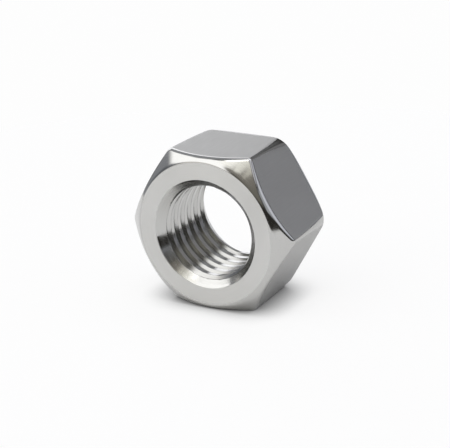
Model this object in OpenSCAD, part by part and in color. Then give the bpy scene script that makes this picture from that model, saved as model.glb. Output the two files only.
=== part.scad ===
// Hexagon nut, stainless steel, metric coarse thread.
// It stands on one flat, as in use on a bench: +Z is up, the bore runs along Y and the front face looks along -Y.
// The origin is the middle of the flat that it stands on. All sizes are in millimetres.

/* [Hexagon] */
// Width across two opposite flats
across_flats = 24; // [22.5:0.5:30]
// Thickness between the two end faces
thickness = 14.8; // [12:0.2:20]
// Radius of the hexagon's corners at the front face
front_corner_round = 0.4; // [0.3:0.1:1.5]
// Radius of the hexagon's corners at the back, where forming leaves them softer
back_corner_round = 2.7; // [2:0.1:3.5]
// Radius of the edges between the flats and the back face
back_edge_round = 1.6; // [0.6:0.1:1.8]

/* [Front face and chamfer] */
// Outer diameter of the flat ring on the front face
face_d = 22.4; // [20.5:0.1:22.8]
// Width of the small break between the flat ring and the chamfer, across the face
face_break = 0.15; // [0.05:0.05:0.3]
// Angle of the small break, measured from the end face
face_break_angle = 20; // [10:1:25]
// Angle of the corner chamfer, measured from the front face
chamfer_angle = 43.5; // [30:0.5:50]

/* [Back face and chamfer] */
// Outer diameter of the flat ring on the back face, at the hexagon's corners
back_face_d = 21.8; // [20.5:0.1:22.8]
// Angle of the corner chamfer, measured from the back face
back_chamfer_angle = 35; // [20:1:45]

/* [Countersinks] */
// Diameter of each countersink where it meets the end face
countersink_d = 17.1; // [17:0.1:19]
// Full angle of the front countersink
countersink_angle = 90; // [60:5:100]
// Full angle of the back countersink
back_countersink_angle = 60; // [50:5:100]
// Width of the small break round each countersink's rim, across the face
rim_break = 0.1; // [0.05:0.05:0.2]

/* [Thread] */
// Nominal diameter, at the bottom of the groove
thread_d = 16; // [15.6:0.1:16.4]
// Diameter of the bore, at the crests
crest_d = 14.4; // [13.8:0.1:14.8]
// Distance from one turn to the next
pitch = 2; // [1.5:0.25:2]
// Angle between the two sides of the groove
thread_angle = 60; // [50:1:60]
// Flat at the bottom of the groove, as a share of the pitch
root_share = 0.125; // [0.08:0.005:0.16]
// Where the groove's middle crosses the front face, in degrees anticlockwise from the right
thread_start = 150; // [0:5:355]
// Straight pieces that make up one turn of the groove
turn_pieces = 36; // [24:4:48]

/* [Hidden] */
steel_colour = [0.68, 0.67, 0.65];
hex_sides = 6;
round_pieces = 96;
// Steps of each rounded corner and of the back edge's rounding
corner_steps = 6;
edge_steps = 6;
// How far a cutter goes past the surface that it cuts
cut_over = 0.3;
half_thickness = thickness / 2;
far_r = across_flats / 2 / cos(180 / hex_sides) + cut_over;
face_r = face_d / 2;
break_r = face_r + face_break;
break_depth = face_break * tan(face_break_angle);
chamfer_depth = break_depth + (far_r - break_r) * tan(chamfer_angle);
back_face_r = back_face_d / 2;
back_break_r = back_face_r + face_break;
back_chamfer_depth = break_depth + (far_r - back_break_r) * tan(back_chamfer_angle);
sink_r = countersink_d / 2;
rim_r = sink_r + rim_break;
crest_r = crest_d / 2;
root_r = thread_d / 2;
sink_depth = rim_break + (sink_r - crest_r) / tan(countersink_angle / 2);
back_sink_depth = rim_break + (sink_r - crest_r) / tan(back_countersink_angle / 2);
root_half = pitch * root_share / 2;
groove_in_r = crest_r - cut_over;
groove_in_half = root_half + (root_r - groove_in_r) * tan(thread_angle / 2);
// The groove runs on past both end faces, as a tap leaves it
run_out = pitch * 0.6;
first_step = -ceil((thickness + run_out) / pitch * turn_pieces);
last_step = ceil(run_out / pitch * turn_pieces);

// Section of the turned outside from the front face to the back face: small breaks and corner chamfers
function outside_section() = [
    [0, half_thickness],
    [face_r, half_thickness],
    [break_r, half_thickness - break_depth],
    [far_r, half_thickness - chamfer_depth],
    [far_r, back_chamfer_depth - half_thickness],
    [back_break_r, break_depth - half_thickness],
    [back_face_r, -half_thickness],
    [0, -half_thickness]
];

// Half section of the bore with a countersink of the given depth, which opens past the end face
function bore_half(depth) = [
    [0, 0],
    [crest_r, 0],
    [crest_r, half_thickness - depth],
    [sink_r, half_thickness - rim_break],
    [rim_r, half_thickness],
    [rim_r + cut_over, half_thickness + cut_over],
    [0, half_thickness + cut_over]
];

// A hexagon with rounded corners at a height along the bore, moved in from the flats by the inset
function bar_ring(height, corner_round, inset) = [
    for (corner = [0 : hex_sides - 1]) for (k = [0 : corner_steps])
        let (middle = (across_flats / 2 - corner_round) / cos(180 / hex_sides),
             ahead = corner * 360 / hex_sides,
             a = ahead + (k / corner_steps - 0.5) * 360 / hex_sides,
             r = corner_round - inset)
        [middle * cos(ahead) + r * cos(a), middle * sin(ahead) + r * sin(a), height]
];

// The groove's section in the plane through the axis: two points inside the bore, two at the bottom of the groove
function groove_ring(step) =
    let (a = thread_start + 360 * step / turn_pieces,
         h = half_thickness + pitch * step / turn_pieces)
    [
        [groove_in_r * cos(a), groove_in_r * sin(a), h - groove_in_half],
        [root_r * cos(a), root_r * sin(a), h - root_half],
        [root_r * cos(a), root_r * sin(a), h + root_half],
        [groove_in_r * cos(a), groove_in_r * sin(a), h + groove_in_half]
    ];

module turned(points) {
    rotate_extrude($fn = round_pieces) polygon(points);
}

// A closed body through rings of points, each ring anticlockwise as seen from where the rings start
module loft(rings, flat_sides) {
    count = len(rings[0]);
    last = len(rings) - 1;
    sides = [
        for (i = [0 : last - 1]) for (k = [0 : count - 1])
            let (a = i * count + k,
                 b = i * count + (k + 1) % count,
                 c = b + count,
                 d = a + count)
            each (flat_sides ? [[a, b, c, d]] : [[a, b, c], [a, c, d]])
    ];
    start_cap = [for (k = [count - 1 : -1 : 0]) k];
    end_cap = [for (k = [0 : count - 1]) last * count + k];
    polyhedron(
        points = [for (ring = rings) each ring],
        faces = concat(sides, [start_cap], [end_cap]),
        convexity = 10
    );
}

// The bar: its corners widen from the front to the back, and its back edges are rounded
module hexagon_bar() {
    front_ring = bar_ring(half_thickness, front_corner_round, 0);
    back_rings = [
        for (i = [0 : edge_steps])
            let (turn = 90 * i / edge_steps,
                 depth = back_edge_round * (1 - sin(turn)),
                 inset = back_edge_round * (1 - cos(turn)))
            bar_ring(depth - half_thickness, back_corner_round, inset)
    ];
    loft(concat([front_ring], back_rings), true);
}

module bore() {
    turned(bore_half(sink_depth));
    mirror([0, 0, 1]) turned(bore_half(back_sink_depth));
}

module thread_groove() {
    loft([for (i = [first_step : last_step]) groove_ring(i)], false);
}

module nut() {
    color(steel_colour)
    translate([0, 0, across_flats / 2])
    rotate([90, 0, 0])
    difference() {
        intersection() {
            hexagon_bar();
            turned(outside_section());
        }
        bore();
        thread_groove();
    }
}

nut();
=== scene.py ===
"""Stainless steel hexagon nut on a white table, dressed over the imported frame."""
import math

import bmesh
import bpy
from mathutils import Matrix, Vector


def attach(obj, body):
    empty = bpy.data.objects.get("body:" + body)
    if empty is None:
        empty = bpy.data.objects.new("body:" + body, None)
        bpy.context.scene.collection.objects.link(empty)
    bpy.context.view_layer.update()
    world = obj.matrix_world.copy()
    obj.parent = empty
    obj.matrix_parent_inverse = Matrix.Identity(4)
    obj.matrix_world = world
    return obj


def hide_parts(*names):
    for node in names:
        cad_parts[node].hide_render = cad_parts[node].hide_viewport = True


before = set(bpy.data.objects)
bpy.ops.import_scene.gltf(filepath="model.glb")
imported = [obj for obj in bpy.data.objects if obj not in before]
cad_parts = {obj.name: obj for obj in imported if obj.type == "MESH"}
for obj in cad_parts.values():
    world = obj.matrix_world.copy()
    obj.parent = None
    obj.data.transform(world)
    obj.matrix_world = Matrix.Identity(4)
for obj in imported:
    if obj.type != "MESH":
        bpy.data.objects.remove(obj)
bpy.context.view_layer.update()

MM = 0.001
TURN = 2 * math.pi
HEX_SIDES = 6
SIXTH = TURN / HEX_SIDES
DEGREES = math.degrees(1)

# Sizes of the nut, in millimetres, as in the part's source
ACROSS_FLATS = 24.0
THICKNESS = 14.8
FRONT_CORNER_ROUND = 0.4
BACK_CORNER_ROUND = 2.7
BACK_EDGE_ROUND = 1.6
FACE_R = 11.2
BREAK_R = 11.35
BREAK_ANGLE = math.radians(20)
BACK_FACE_R = 10.95
BACK_CHAMFER_ANGLE = math.radians(35)
SINK_R = 8.55
BACK_SINK_HALF_ANGLE = math.radians(30)
CREST_R = 7.2
ROOT_R = 8.0
PITCH = 2.0
ROOT_HALF = 0.125
FLANK_ANGLE = math.radians(30)
THREAD_START = math.radians(150)

HALF = THICKNESS / 2
APOTHEM = ACROSS_FLATS / 2
CENTRE_Z = APOTHEM
SIDE_END = -HALF + BACK_EDGE_ROUND

# Fine form that the source leaves out, in millimetres: roundings first
RIM_ROUND = 0.14
BREAK_ROUND = 0.35
EDGE_ROUND = 1.1
BACK_BLEND = 0.3
SINK_BLEND = 0.1
CREST_BLEND = 0.04
ROOT_BLEND = 0.06
# The front countersink is a little steeper than in the source
SINK_HALF_ANGLE = math.radians(43.5)
# The corner chamfer is slightly crowned: its slope at the face, its slope further out,
# and the width over which the one becomes the other
CHAMFER_INNER_SLOPE = math.tan(math.radians(36))
CHAMFER_OUTER_SLOPE = math.tan(math.radians(45))
CHAMFER_CROWN = 0.4
# The corners' rounding grows slowly at first, and is never less than this share of the way
CORNER_LEAST_GROWTH = 0.18
CORNER_LATE_POWER = 4
# Depth of the full rim behind which the first turn of the thread starts
COLLAR_DEPTH = 1.11
COLLAR_R = 7.44
COLLAR_EDGE = HALF - COLLAR_DEPTH

# Mesh columns round the bore, in degrees from a corner: finest up to the first end, close together up to
# the second, and evenly spaced over the rest of the flat
FINE_END = 1.5
FINE_COLUMNS = 6
CLOSE_END = 7.0
CLOSE_COLUMNS = 11
FLAT_COLUMNS = 30
ANGLE_DECIMALS = 4

# Pieces and places of the section's points
RIM_PIECES = 5
BREAK_PIECES = 3
EDGE_PIECES = 9
BACK_EDGE_PIECES = 18
CROWN_SHARES = (0.06, 0.14, 0.24, 0.36)
SIDE_SHARES = (0.04, 0.2, 0.4, 0.6, 0.8, 0.96)
BACK_SHARES = (0.07, 0.15, 0.25, 0.36, 0.48, 0.6, 0.74, 0.88, 1.0)
GUARD_SHARE = 0.25
GUARD_MOST = 0.04
# How far the outside's section reaches into each countersink, and the width of the flat rim at the back
RIM_REACH = 0.3
BACK_RIM_WIDTH = 0.9
# Where the chamfer meets the corner is found in a few rounds, from a first guess of its depth
FIRST_DROP = 1.5
FIT_ROUNDS = 3

# Mesh rows within one turn of the thread: millimetres from the groove's middle, then shares of the pitch
ROW_PLACES = (0.0, 0.08, 0.125, 0.17, 0.3, 0.45, 0.55, 0.57, 0.587, 0.604, 0.63, 0.8)
ROWS = [p / PITCH for p in ROW_PLACES] + [0.5] + [1 - p / PITCH for p in reversed(ROW_PLACES[1:])]
# Turns of rows behind and ahead of the front face, of which only those between the two rims are kept
TURNS_BACK = 12
TURNS_AHEAD = 4
# Least room between a row and a rim, and from the collar's edge to the rows beside it
ROW_SPARE = 0.02
COLLAR_STEP = 0.05

# Camera, solved from the nut's outline in the photograph
VIEW_AZIMUTH = math.radians(29.6852)
VIEW_ELEVATION = math.radians(20.0778)
VIEW_ROLL = math.radians(-2.176)
VIEW_DISTANCE = 240.0
VIEW_ASIDE = -0.486
VIEW_UP = -0.7471
LENS = 125.7455
SENSOR = 36.0
CLIP_START = 0.01
CLIP_END = 20.0

ZONES = ("face", "chamfer", "flat", "sink", "thread")
STEEL = (0.6, 0.597, 0.58)
# Soft clouds of tone in the steel, and how much of the marks' range changes the gloss
CLOUD_SCALE = 160.0
CLOUD_DETAIL = 2.0
CLOUD_DARK = 0.96
CLOUD_LIGHT = 1.04
MARK_DETAIL = 3.0
MARK_RANGE = (0.3, 0.7)
# How little the marks change round the bore, and along a drawn flat
RING_CHANGE = 0.0006
DRAWN_CHANGE = 0.06
# How far the surface turns away from a flat, in degrees, where a corner begins and where it is full
CORNER_BEGINS = (5.0, 15.0)
# The gloss of turned steel spreads across the marks, a quarter of a turn from where they run
QUARTER_TURN = 0.25

# The floor is the top of a small round table
FLOOR_R = 0.105
FLOOR_SIDES = 96
FLOOR_COLOUR = (0.97, 0.97, 0.97, 1)
# Share of the floor's look that stays plain white to the eye, and the same in what the steel mirrors
WHITE_SHARE = 0.84
MIRRORED_SHARE = 0.2
# That white darkens within this distance of the nut, in metres, and over this range of openness: a painted
# contact shadow drawn by ambient occlusion
PAINTED_SHADOW_REACH = 0.0055
PAINTED_SHADOW_RANGE = (0.0, 0.95)
PAINTED_SHADOW_SAMPLES = 16
BLACK = (0.0, 0.0, 0.0, 1)
# Below the edge of the table the studio is white as well: that edge's elevation and softness, and the white
HORIZON = (-6.5, 1.6)
BELOW = (0.985, 0.985, 0.985, 1)

# The studio room, and between which shares of the way back it changes from the one to the other
ROOM_FRONT = (0.037, 0.035, 0.032, 1)
ROOM_BACK = (0.06, 0.058, 0.056, 1)
ROOM_CHANGE = (-0.3, 0.5)
# Its lit panels: left, right, bottom and top edge in degrees, each with the width of its soft edge, and the
# light that it gives. Azimuth 0 is in front of the nut and 90 to its right. Later panels cover earlier ones.
PANELS = (
    ((-250, 10), (-92, 16), (30, 16), (78, 10), (0.4, 0.41, 0.43, 1)),  # behind left, high
    ((-156, 4), (-108, 14), (9, 8), (31, 6), (1.8, 1.81, 1.88, 1)),  # behind left, bright
    ((-108, 14), (-48, 16), (-40, 10), (26, 8), (0.35, 0.36, 0.39, 1)),  # left, low
    ((-84, 12), (-58, 10), (0, 8), (22, 6), (0.17, 0.18, 0.2, 1)),  # left, a darker gap
    ((-48, 16), (-6, 16), (-40, 10), (28, 12), (1.0, 0.98, 0.93, 1)),  # front left, low
    ((54, 8), (96, 10), (14, 6), (37, 6), (0.52, 0.54, 0.58, 1)),  # right
    ((44, 8), (58, 8), (20, 8), (36, 6), (0.14, 0.14, 0.14, 1)),  # front right, dim
    ((-12, 10), (18, 10), (2, 8), (26, 8), (0.15, 0.145, 0.13, 1)),  # front, dim
    ((92, 8), (124, 8), (10, 6), (37, 6), (0.94, 0.97, 1.06, 1)),  # right, towards the back
    ((118, 8), (139, 5), (4, 6), (34, 6), (0.74, 0.76, 0.85, 1)),  # behind right
    ((142, 8), (174, 8), (17, 6), (46, 8), (0.3, 0.3, 0.31, 1)),  # behind, dim
    ((60, 10), (136, 12), (42, 8), (74, 8), (0.8, 0.8, 0.86, 1)),  # right, high
    ((132, 12), (200, 12), (50, 10), (78, 8), (1.7, 1.7, 1.8, 1)),  # behind, high, up to 180
    ((-250, 10), (-160, 12), (50, 10), (78, 8), (1.7, 1.7, 1.8, 1)),  # the same from 180 on
    ((4, 12), (45, 6), (18, 10), (42, 8), (0.24, 0.23, 0.2, 1)),  # front right, dim
    ((148, 6), (220, 8), (-12, 4), (10, 8), (0.42, 0.43, 0.48, 1)),  # behind, low, up to 180
    ((-220, 8), (-130, 10), (-12, 4), (8, 6), (0.6, 0.61, 0.64, 1)),  # behind, low, from 180 on
    ((-10, 16), (50, 12), (38, 8), (60, 8), (0.3, 0.28, 0.25, 1)),  # front right, higher
    ((26, 6), (46, 10), (49, 4), (60, 6), (0.95, 0.92, 0.82, 1)),  # front right, a warm patch
    ((-93, 6), (-78, 6), (26, 6), (54, 8), (1.86, 1.86, 1.86, 1)),  # left end of the large soft box
    ((-80, 6), (-8, 10), (27, 5), (68, 8), (1.86, 1.86, 1.86, 1)),  # the large soft box
    ((-12, 12), (12, 4), (58, 3), (72, 10), (1.25, 1.23, 1.14, 1)),  # front, high and warm
    ((10, 4), (44, 14), (54, 3), (72, 10), (1.3, 1.28, 1.18, 1)),  # front right, high and warm
    ((-22, 24), (14, 30), (58, 4), (74, 10), (1.8, 1.78, 1.7, 1)),  # front, high
)
# The lamp overhead: its azimuth, elevation and radius in degrees, its soft edge and its light
TOP_LAMP = (10, 80, 11, 6)
TOP_LIGHT = (6.6, 6.6, 6.6, 1)


def blend_max(a, b, width):
    """The larger of two numbers, with the corner between them rounded."""
    h = max(width - abs(a - b), 0.0) / width
    return max(a, b) + h * h * width / 4


def blend_min(a, b, width):
    """The smaller of two numbers, with the corner between them rounded."""
    return -blend_max(-a, -b, width)


def spread(start, end, count):
    """Evenly spaced numbers from the start up to the end, which isn't one of them."""
    return [start + (end - start) * k / count for k in range(count)]


def towards(azimuth, elevation):
    """A direction from the nut: azimuth 0 is straight in front of it, a quarter turn to its right."""
    level = math.cos(elevation)
    return Vector((math.sin(azimuth) * level, -math.cos(azimuth) * level, math.sin(elevation)))


def show(name, data):
    """A new object in the scene."""
    obj = bpy.data.objects.new(name, data)
    bpy.context.scene.collection.objects.link(obj)
    return obj


def place(radius, angle, height):
    """A point of the nut: height is along the bore, towards the front face."""
    return Vector((radius * math.cos(angle), -height, CENTRE_Z + radius * math.sin(angle))) * MM


def columns():
    """Angles round the bore, closer together where the hexagon's corners are rounded."""
    sixth = 360.0 / HEX_SIDES
    near = spread(0.0, FINE_END, FINE_COLUMNS) + spread(FINE_END, CLOSE_END, CLOSE_COLUMNS) + [CLOSE_END]
    far = spread(CLOSE_END, sixth - CLOSE_END, FLAT_COLUMNS)[1:]
    angles = set()
    for corner in range(HEX_SIDES):
        offsets = near + [-d for d in near] + far
        angles.update(round((corner * sixth + d) % 360.0, ANGLE_DECIMALS) for d in offsets)
    return [math.radians(a) for a in sorted(angles)]


def corner_round(height):
    """Radius of the hexagon's corners, which widens from the front to the back."""
    share = min(max((HALF - height) / (HALF - SIDE_END), 0.0), 1.0)
    growth = max((share + share ** CORNER_LATE_POWER) / 2, CORNER_LEAST_GROWTH)
    return FRONT_CORNER_ROUND + (BACK_CORNER_ROUND - FRONT_CORNER_ROUND) * growth


def hexagon_radius(angle, rounding, inset=0.0):
    """Distance from the axis to the side of a rounded hexagon, moved in from the flats by the inset."""
    half = SIXTH / 2
    off = abs((angle + half) % SIXTH - half)
    middle = (APOTHEM - rounding) / math.cos(half)
    arc = rounding - inset
    touch = math.atan2(arc * math.sin(half), middle + arc * math.cos(half))
    if off < touch:
        return middle * math.cos(off) + math.sqrt(arc ** 2 - (middle * math.sin(off)) ** 2)
    return (APOTHEM - inset) / math.cos(half - off)


def fillet(before, corner, after, radius, pieces):
    """Points of an arc that rounds a corner of a section, with a guard point on each side."""
    before, corner, after = Vector(before), Vector(corner), Vector(after)
    u = (before - corner).normalized()
    v = (after - corner).normalized()
    half = u.angle(v) / 2
    reach = radius / math.tan(half)
    middle = corner + (u + v).normalized() * (radius / math.sin(half))
    start = corner + u * reach
    end = corner + v * reach
    a = start - middle
    b = end - middle
    span = a.angle(b)
    side = (b - a * math.cos(span)).normalized() * radius
    guard = min(radius * GUARD_SHARE, GUARD_MOST)
    points = [start + u * guard]
    for k in range(pieces + 1):
        t = span * k / pieces
        points.append(middle + a * math.cos(t) + side * math.sin(t))
    points.append(end + v * guard)
    return points


def zoned(points, zone):
    """Points of a section with the zone that starts at each."""
    return [(p.x, p.y, zone) for p in points]


def chamfer_drop(width):
    """How far the crowned chamfer has dropped, a width outside its inner edge."""
    bend = (CHAMFER_OUTER_SLOPE - CHAMFER_INNER_SLOPE) * CHAMFER_CROWN
    return width * CHAMFER_OUTER_SLOPE - bend * (1 - math.exp(-width / CHAMFER_CROWN))


def front_section(angle):
    """From inside the countersink over the front face and its chamfer to the flat: radius, height, zone."""
    break_height = HALF - (BREAK_R - FACE_R) * math.tan(BREAK_ANGLE)
    height = HALF - FIRST_DROP
    for _ in range(FIT_ROUNDS):
        reach = hexagon_radius(angle, corner_round(height))
        height = break_height - chamfer_drop(reach - BREAK_R)
    start = (SINK_R - RIM_REACH * math.tan(SINK_HALF_ANGLE), HALF - RIM_REACH)
    rim = (SINK_R, HALF)
    face_edge = (FACE_R, HALF)
    section = [(start[0], start[1], "sink")]
    section += zoned(fillet(start, rim, face_edge, RIM_ROUND, RIM_PIECES), "face")
    section.append(((SINK_R + FACE_R) / 2, HALF, "face"))
    section += zoned(fillet(rim, face_edge, (BREAK_R, break_height), BREAK_ROUND, BREAK_PIECES), "chamfer")
    widths = [(reach - BREAK_R) * share for share in CROWN_SHARES]
    crown = [(BREAK_R + w, break_height - chamfer_drop(w)) for w in widths]
    section += [(r, h, "chamfer") for r, h in crown[:-1]]
    section += zoned(fillet(crown[-1], (reach, height), (reach, 0.0), EDGE_ROUND, EDGE_PIECES), "chamfer")
    # The last point lies on the flat
    section[-1] = section[-1][:2] + ("flat",)
    return section


def back_height(radius, depth):
    """Height of the back end, where the rounded edge or the corner chamfer comes first."""
    cone = HALF - (radius - BACK_FACE_R) * math.tan(BACK_CHAMFER_ANGLE)
    return -blend_min(HALF - depth, cone, BACK_BLEND)


def back_section(angle):
    """From the flat over the rounded back edge and the back face into the countersink."""
    section = []
    for k in range(BACK_EDGE_PIECES + 1):
        turn = math.radians(90 * k / BACK_EDGE_PIECES)
        radius = hexagon_radius(angle, BACK_CORNER_ROUND, BACK_EDGE_ROUND * (1 - math.cos(turn)))
        depth = BACK_EDGE_ROUND * (1 - math.sin(turn))
        section.append((radius, back_height(radius, depth), "chamfer"))
    edge = section[-1][0]
    inner = SINK_R + BACK_RIM_WIDTH
    for share in BACK_SHARES:
        radius = edge + (inner - edge) * share
        section.append((radius, back_height(radius, 0.0), "face"))
    end = (SINK_R - RIM_REACH * math.tan(BACK_SINK_HALF_ANGLE), -HALF + RIM_REACH)
    section += zoned(fillet((inner, -HALF), (SINK_R, -HALF), end, RIM_ROUND, RIM_PIECES), "sink")
    section.append((end[0], end[1], "sink"))
    return section


def section_at(angle):
    """The whole outside section at one angle, from the front countersink round to the back one."""
    front = front_section(angle)
    first = front[-1][1]
    side = []
    for share in SIDE_SHARES:
        height = first + (SIDE_END - first) * share
        side.append((hexagon_radius(angle, corner_round(height)), height, "flat"))
    return front + side + back_section(angle)


def thread_radius(turns):
    """Radius of the cut thread, a number of turns away from the middle of its groove."""
    aside = abs((turns + 0.5) % 1.0 - 0.5) * PITCH
    flank = ROOT_R - (aside - ROOT_HALF) / math.tan(FLANK_ANGLE)
    return blend_min(ROOT_R, flank, ROOT_BLEND)


def bore_radius(angle, height):
    """Radius of the opening: the bore, its countersinks and the thread cut into them."""
    half_angle = SINK_HALF_ANGLE if height > 0 else BACK_SINK_HALF_ANGLE
    cone = SINK_R - (HALF - abs(height)) * math.tan(half_angle)
    drilled = blend_max(CREST_R, cone, SINK_BLEND)
    turns = (height - HALF) / PITCH - (angle - THREAD_START) / TURN
    collar = COLLAR_R + (COLLAR_EDGE - height) / math.tan(FLANK_ANGLE)
    return blend_max(drilled, min(thread_radius(turns), collar), CREST_BLEND)


def row_height(number, angle):
    """Height of a mesh row at one angle. The rows follow the thread."""
    whole, part = divmod(number, len(ROWS))
    return HALF + PITCH * (ROWS[part] + whole) + PITCH * (angle - THREAD_START) / TURN


def column_heights(angle):
    """Heights of the mesh rows between the two rims at one angle, by number."""
    numbers = range(-len(ROWS) * TURNS_BACK, len(ROWS) * TURNS_AHEAD)
    heights = {n: row_height(n, angle) for n in numbers}
    # The rows nearest to the collar's edge are moved onto it
    nearest = min(heights, key=lambda n: abs(heights[n] - COLLAR_EDGE))
    for side in (-1, 0, 1):
        heights[nearest + side] = COLLAR_EDGE + side * COLLAR_STEP
    limit = HALF - RIM_REACH - ROW_SPARE
    return {n: h for n, h in heights.items() if -limit < h < limit}


def skin(bm, corners, zone):
    """One smooth face of a zone."""
    face = bm.faces.new(corners)
    face.material_index = ZONES.index(zone)
    face.smooth = True


def skin_outside(bm, rings, zones):
    """Faces between neighbouring sections of the outside."""
    for left, right in zip(rings, rings[1:] + rings[:1]):
        for k, zone in enumerate(zones[:-1]):
            skin(bm, (left[k], right[k], right[k + 1], left[k + 1]), zone)


def skin_inside(bm, rings, inner):
    """Faces of the threaded bore, and those that close its two ends against the rims."""
    for i, (ring_l, ring_r) in enumerate(zip(rings, rings[1:] + rings[:1])):
        left, right = inner[i], inner[i + 1]
        common = sorted(set(left) & set(right))
        for n in common[:-1]:
            skin(bm, (left[n], left[n + 1], right[n + 1], right[n]), "thread")
        low, high = common[0], common[-1]
        left_low = [left[n] for n in sorted(left) if n <= low]
        right_low = [right[n] for n in sorted(right) if n <= low]
        left_high = [left[n] for n in sorted(left) if n >= high]
        right_high = [right[n] for n in sorted(right) if n >= high]
        skin(bm, [ring_l[-1]] + left_low + right_low[::-1] + [ring_r[-1]], "sink")
        skin(bm, [ring_r[0]] + right_high[::-1] + left_high + [ring_l[0]], "sink")


def build_nut():
    """The nut's mesh: rings round the outside, and rows that follow the thread inside."""
    bm = bmesh.new()
    angles = columns()
    sections = [section_at(a) for a in angles]
    rings = []
    for a, section in zip(angles, sections):
        rings.append([bm.verts.new(place(r, a, h)) for r, h, zone in section])
    skin_outside(bm, rings, [zone for r, h, zone in sections[0]])
    inner = []
    for a in angles:
        heights = column_heights(a)
        inner.append({n: bm.verts.new(place(bore_radius(a, h), a, h)) for n, h in heights.items()})
    # The seam: after a whole turn each row meets the row one turn further on
    inner.append({n - len(ROWS): v for n, v in inner[0].items()})
    skin_inside(bm, rings, inner)
    bmesh.ops.triangulate(bm, faces=[f for f in bm.faces if len(f.verts) > 4])
    bmesh.ops.recalc_face_normals(bm, faces=bm.faces)
    mesh = bpy.data.meshes.new("nut_body")
    bm.to_mesh(mesh)
    bm.free()
    return show("nut_body", mesh)


def add_node(tree, kind, **settings):
    """A new shader node with some of its settings."""
    node = tree.nodes.new(kind)
    for key, value in settings.items():
        setattr(node, key, value)
    return node


def feed(tree, socket, value):
    """Sets a socket from another node's output, or to a plain value."""
    if isinstance(value, bpy.types.NodeSocket):
        tree.links.new(value, socket)
    else:
        socket.default_value = value


def maths(tree, operation, a, b=0.0):
    """The result of a sum on one or two values."""
    node = add_node(tree, "ShaderNodeMath", operation=operation)
    feed(tree, node.inputs[0], a)
    feed(tree, node.inputs[1], b)
    return node.outputs[0]


def ramp(tree, value, low, high, to_low=0.0, to_high=1.0):
    """A smooth step of a value between two limits."""
    node = add_node(tree, "ShaderNodeMapRange", interpolation_type="SMOOTHSTEP")
    feed(tree, node.inputs["Value"], value)
    for name, number in (("From Min", low), ("From Max", high), ("To Min", to_low), ("To Max", to_high)):
        node.inputs[name].default_value = number
    return node.outputs["Result"]


def mix_colour(tree, share, first, second):
    """The first colour, with a share of the second."""
    node = add_node(tree, "ShaderNodeMix", data_type="RGBA")
    feed(tree, node.inputs["Factor"], share)
    feed(tree, node.inputs["A"], first)
    feed(tree, node.inputs["B"], second)
    return node.outputs["Result"]


def noise(tree, where, scale, detail):
    """Smooth noise at a texture place."""
    node = add_node(tree, "ShaderNodeTexNoise")
    feed(tree, node.inputs["Vector"], where)
    node.inputs["Scale"].default_value = scale
    node.inputs["Detail"].default_value = detail
    return node.outputs["Fac"]


def object_place(tree):
    """Texture place that is fixed to the nut."""
    return add_node(tree, "ShaderNodeTexCoord").outputs["Object"]


def in_degrees(tree, operation, a, b=0.0):
    """The angle that a sum gives, in degrees."""
    return maths(tree, "MULTIPLY", maths(tree, operation, a, b), DEGREES)


def turned_place(tree):
    """Texture place that makes rings round the bore, from the distance to the axis and along it."""
    split = add_node(tree, "ShaderNodeSeparateXYZ")
    tree.links.new(object_place(tree), split.inputs[0])
    across = split.outputs["X"]
    up = maths(tree, "SUBTRACT", split.outputs["Z"], CENTRE_Z * MM)
    squares = maths(tree, "ADD", maths(tree, "POWER", across, 2.0), maths(tree, "POWER", up, 2.0))
    join = add_node(tree, "ShaderNodeCombineXYZ")
    feed(tree, join.inputs["X"], maths(tree, "SQRT", squares))
    feed(tree, join.inputs["Y"], split.outputs["Y"])
    turn = maths(tree, "ARCTAN2", up, across)
    feed(tree, join.inputs["Z"], maths(tree, "MULTIPLY", turn, RING_CHANGE))
    return join.outputs[0]


def drawn_place(tree):
    """Texture place that makes streaks along the bore, as drawing leaves them on a bar."""
    mapping = add_node(tree, "ShaderNodeMapping")
    tree.links.new(object_place(tree), mapping.inputs["Vector"])
    mapping.inputs["Scale"].default_value = (1.0, DRAWN_CHANGE, 1.0)
    return mapping.outputs[0]


def corner_share(tree):
    """One on the hexagon's rounded corners and nothing on its flats, from where the surface faces."""
    sixth = 360.0 / HEX_SIDES
    split = add_node(tree, "ShaderNodeSeparateXYZ")
    tree.links.new(add_node(tree, "ShaderNodeTexCoord").outputs["Normal"], split.inputs[0])
    facing = in_degrees(tree, "ARCTAN2", split.outputs["Z"], split.outputs["X"])
    within = maths(tree, "FLOORED_MODULO", facing, sixth)
    aside = maths(tree, "ABSOLUTE", maths(tree, "SUBTRACT", within, sixth / 2))
    return ramp(tree, aside, *CORNER_BEGINS)


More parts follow.
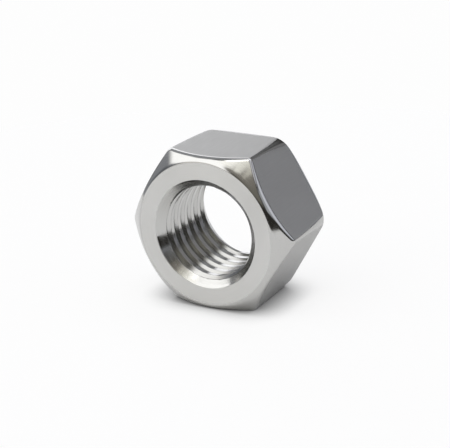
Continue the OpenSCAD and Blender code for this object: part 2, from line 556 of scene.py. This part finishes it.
def steel(name, finish):
    """Bare stainless steel with fine marks, whose direction, depth and gloss the finish gives."""
    mat = bpy.data.materials.new(name)
    mat.use_nodes = True
    tree = mat.node_tree
    shader = tree.nodes["Principled BSDF"]
    shader.inputs["Metallic"].default_value = 1.0
    marks = noise(tree, finish["place"](tree), finish["scale"], MARK_DETAIL)
    clouds = noise(tree, object_place(tree), CLOUD_SCALE, CLOUD_DETAIL)
    # The tone darkens the steel of a zone: on every zone but the face it is painted shade, set to match
    # their brightness
    dark = tuple(c * finish["tone"] * CLOUD_DARK for c in STEEL) + (1.0,)
    light = tuple(c * finish["tone"] * CLOUD_LIGHT for c in STEEL) + (1.0,)
    feed(tree, shader.inputs["Base Color"], mix_colour(tree, clouds, dark, light))
    roughness = ramp(tree, marks, *MARK_RANGE, *finish["roughness"])
    if finish["corner_gloss"]:
        less = maths(tree, "MULTIPLY", corner_share(tree), finish["corner_gloss"])
        roughness = maths(tree, "SUBTRACT", roughness, less)
    feed(tree, shader.inputs["Roughness"], roughness)
    # Turning marks run round the bore, so that the gloss spreads across them
    if finish["across"]:
        shader.inputs["Anisotropic"].default_value = finish["across"]
        shader.inputs["Anisotropic Rotation"].default_value = QUARTER_TURN
        tangent = add_node(tree, "ShaderNodeTangent", direction_type="RADIAL", axis="Y")
        tree.links.new(tangent.outputs["Tangent"], shader.inputs["Tangent"])
    bump = add_node(tree, "ShaderNodeBump")
    bump.inputs["Strength"].default_value = 1.0
    bump.inputs["Distance"].default_value = finish["bump"]
    feed(tree, bump.inputs["Height"], marks)
    tree.links.new(bump.outputs["Normal"], shader.inputs["Normal"])
    return mat


def make_camera():
    """The camera at the photograph's viewing angle, aimed beside the nut's middle as the photograph is."""
    back = towards(VIEW_AZIMUTH, VIEW_ELEVATION)
    level = Vector((0, 0, 1)).cross(back).normalized()
    upward = back.cross(level)
    right = math.cos(VIEW_ROLL) * level + math.sin(VIEW_ROLL) * upward
    up = -math.sin(VIEW_ROLL) * level + math.cos(VIEW_ROLL) * upward
    spot = Vector((0, 0, CENTRE_Z)) + VIEW_DISTANCE * back + VIEW_ASIDE * right + VIEW_UP * up
    data = bpy.data.cameras.new("camera")
    data.sensor_fit = "HORIZONTAL"
    data.sensor_width = SENSOR
    data.lens = LENS
    data.clip_start = CLIP_START
    data.clip_end = CLIP_END
    obj = show("camera", data)
    turn = Matrix((right, up, back)).transposed().to_4x4()
    obj.matrix_world = Matrix.Translation(spot * MM) @ turn
    bpy.context.scene.camera = obj


def white_with_painted_shadow(tree, shader):
    """Part of what shows of the floor is plain white emission that darkens only close to the nut, a painted
    contact shadow laid over the floor's real shadow, and the steel mirrors it too.
    """
    near = add_node(tree, "ShaderNodeAmbientOcclusion", samples=PAINTED_SHADOW_SAMPLES)
    near.inputs["Distance"].default_value = PAINTED_SHADOW_REACH
    unshadowed_share = ramp(tree, near.outputs["AO"], *PAINTED_SHADOW_RANGE)
    white = add_node(tree, "ShaderNodeEmission")
    # Painted contact shadow: the white emission turns to black where ambient occlusion finds the nut close
    # by
    feed(tree, white.inputs["Color"], mix_colour(tree, unshadowed_share, BLACK, BELOW))
    path = add_node(tree, "ShaderNodeLightPath")
    seen = maths(tree, "MAXIMUM", path.outputs["Is Camera Ray"], path.outputs["Is Transmission Ray"])
    seen = maths(tree, "MULTIPLY", seen, WHITE_SHARE)
    mirrored = maths(tree, "MULTIPLY", path.outputs["Is Glossy Ray"], MIRRORED_SHARE)
    both = add_node(tree, "ShaderNodeMixShader")
    feed(tree, both.inputs[0], maths(tree, "MAXIMUM", seen, mirrored))
    tree.links.new(shader.outputs[0], both.inputs[1])
    tree.links.new(white.outputs[0], both.inputs[2])
    tree.links.new(both.outputs[0], tree.nodes["Material Output"].inputs["Surface"])


def make_floor():
    """The top of the round white table."""
    mesh = bpy.data.meshes.new("floor")
    steps = [TURN * k / FLOOR_SIDES for k in range(FLOOR_SIDES)]
    ring = [(FLOOR_R * math.cos(a), FLOOR_R * math.sin(a), 0) for a in steps]
    mesh.from_pydata(ring, [], [tuple(range(FLOOR_SIDES))])
    obj = show("floor", mesh)
    mat = bpy.data.materials.new("floor")
    mat.use_nodes = True
    shader = mat.node_tree.nodes["Principled BSDF"]
    shader.inputs["Base Color"].default_value = FLOOR_COLOUR
    shader.inputs["Roughness"].default_value = 1.0
    shader.inputs["Specular IOR Level"].default_value = 0.0
    white_with_painted_shadow(mat.node_tree, shader)
    mesh.materials.append(mat)


def soft_step(tree, value, edge, to_low=0.0, to_high=1.0):
    """A smooth step at an edge, which is a centre and the width of its softness."""
    centre, width = edge
    return ramp(tree, value, centre - width / 2, centre + width / 2, to_low, to_high)


def band(tree, value, low, high):
    """One inside a range of angles, and nothing outside its soft edges."""
    return maths(tree, "MULTIPLY", soft_step(tree, value, low), soft_step(tree, value, high, 1.0, 0.0))


def lamp_share(tree, direction):
    """One inside the lamp overhead, and nothing outside its soft edge."""
    azimuth, elevation, radius, soft = TOP_LAMP
    near = add_node(tree, "ShaderNodeVectorMath", operation="DOT_PRODUCT")
    tree.links.new(direction, near.inputs[0])
    near.inputs[1].default_value = towards(math.radians(azimuth), math.radians(elevation))
    outer, inner = (math.cos(math.radians(radius + side * soft / 2)) for side in (1, -1))
    return ramp(tree, near.outputs["Value"], outer, inner)


def make_world():
    """Studio light by direction only."""
    world = bpy.data.worlds.new("studio")
    world.use_nodes = True
    bpy.context.scene.world = world
    tree = world.node_tree
    direction = add_node(tree, "ShaderNodeTexCoord").outputs["Generated"]
    split = add_node(tree, "ShaderNodeSeparateXYZ")
    tree.links.new(direction, split.inputs[0])
    ahead = maths(tree, "MULTIPLY", split.outputs["Y"], -1.0)
    azimuth = in_degrees(tree, "ARCTAN2", split.outputs["X"], ahead)
    elevation = in_degrees(tree, "ARCSINE", split.outputs["Z"])
    light = mix_colour(tree, ramp(tree, split.outputs["Y"], *ROOM_CHANGE), ROOM_FRONT, ROOM_BACK)
    for left, right, bottom, top, colour in PANELS:
        share = maths(tree, "MULTIPLY", band(tree, azimuth, left, right), band(tree, elevation, bottom, top))
        light = mix_colour(tree, share, light, colour)
    light = mix_colour(tree, lamp_share(tree, direction), light, TOP_LIGHT)
    light = mix_colour(tree, soft_step(tree, elevation, HORIZON), BELOW, light)
    feed(tree, tree.nodes["Background"].inputs["Color"], light)
    tree.nodes["Background"].inputs["Strength"].default_value = 1.0


# How each zone is finished: where its marks run and how fine they are, its roughness, the marks' depth in
# metres, how far gloss spreads across them, the tone of the steel, lowered on the chamfer, countersinks and
# thread and most on the flats as painted shade that matches their brightness, and how much glossier rounded
# corners are
FINISHES = {
    "face": {
        "place": turned_place, "scale": 9000.0, "roughness": (0.3, 0.42), "bump": 0.000002,
        "across": 0.5, "tone": 1.0, "corner_gloss": 0.0,
    },
    "chamfer": {
        "place": turned_place, "scale": 6000.0, "roughness": (0.09, 0.15), "bump": 0.000001,
        "across": 0.4, "tone": 0.87, "corner_gloss": 0.0,
    },
    "flat": {
        "place": drawn_place, "scale": 5000.0, "roughness": (0.45, 0.53), "bump": 0.000001,
        "across": 0.0, "tone": 0.75, "corner_gloss": 0.34,
    },
    "sink": {
        "place": turned_place, "scale": 6000.0, "roughness": (0.1, 0.16), "bump": 0.000001,
        "across": 0.5, "tone": 0.87, "corner_gloss": 0.0,
    },
    "thread": {
        "place": turned_place, "scale": 5000.0, "roughness": (0.16, 0.22), "bump": 0.000001,
        "across": 0.7, "tone": 0.87, "corner_gloss": 0.0,
    },
}

nut = build_nut()
for zone in ZONES:
    nut.data.materials.append(steel("steel_" + zone, FINISHES[zone]))
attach(nut, "root")
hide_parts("nut")

make_floor()
make_world()
make_camera()
bpy.context.scene.view_settings.view_transform = "Standard"
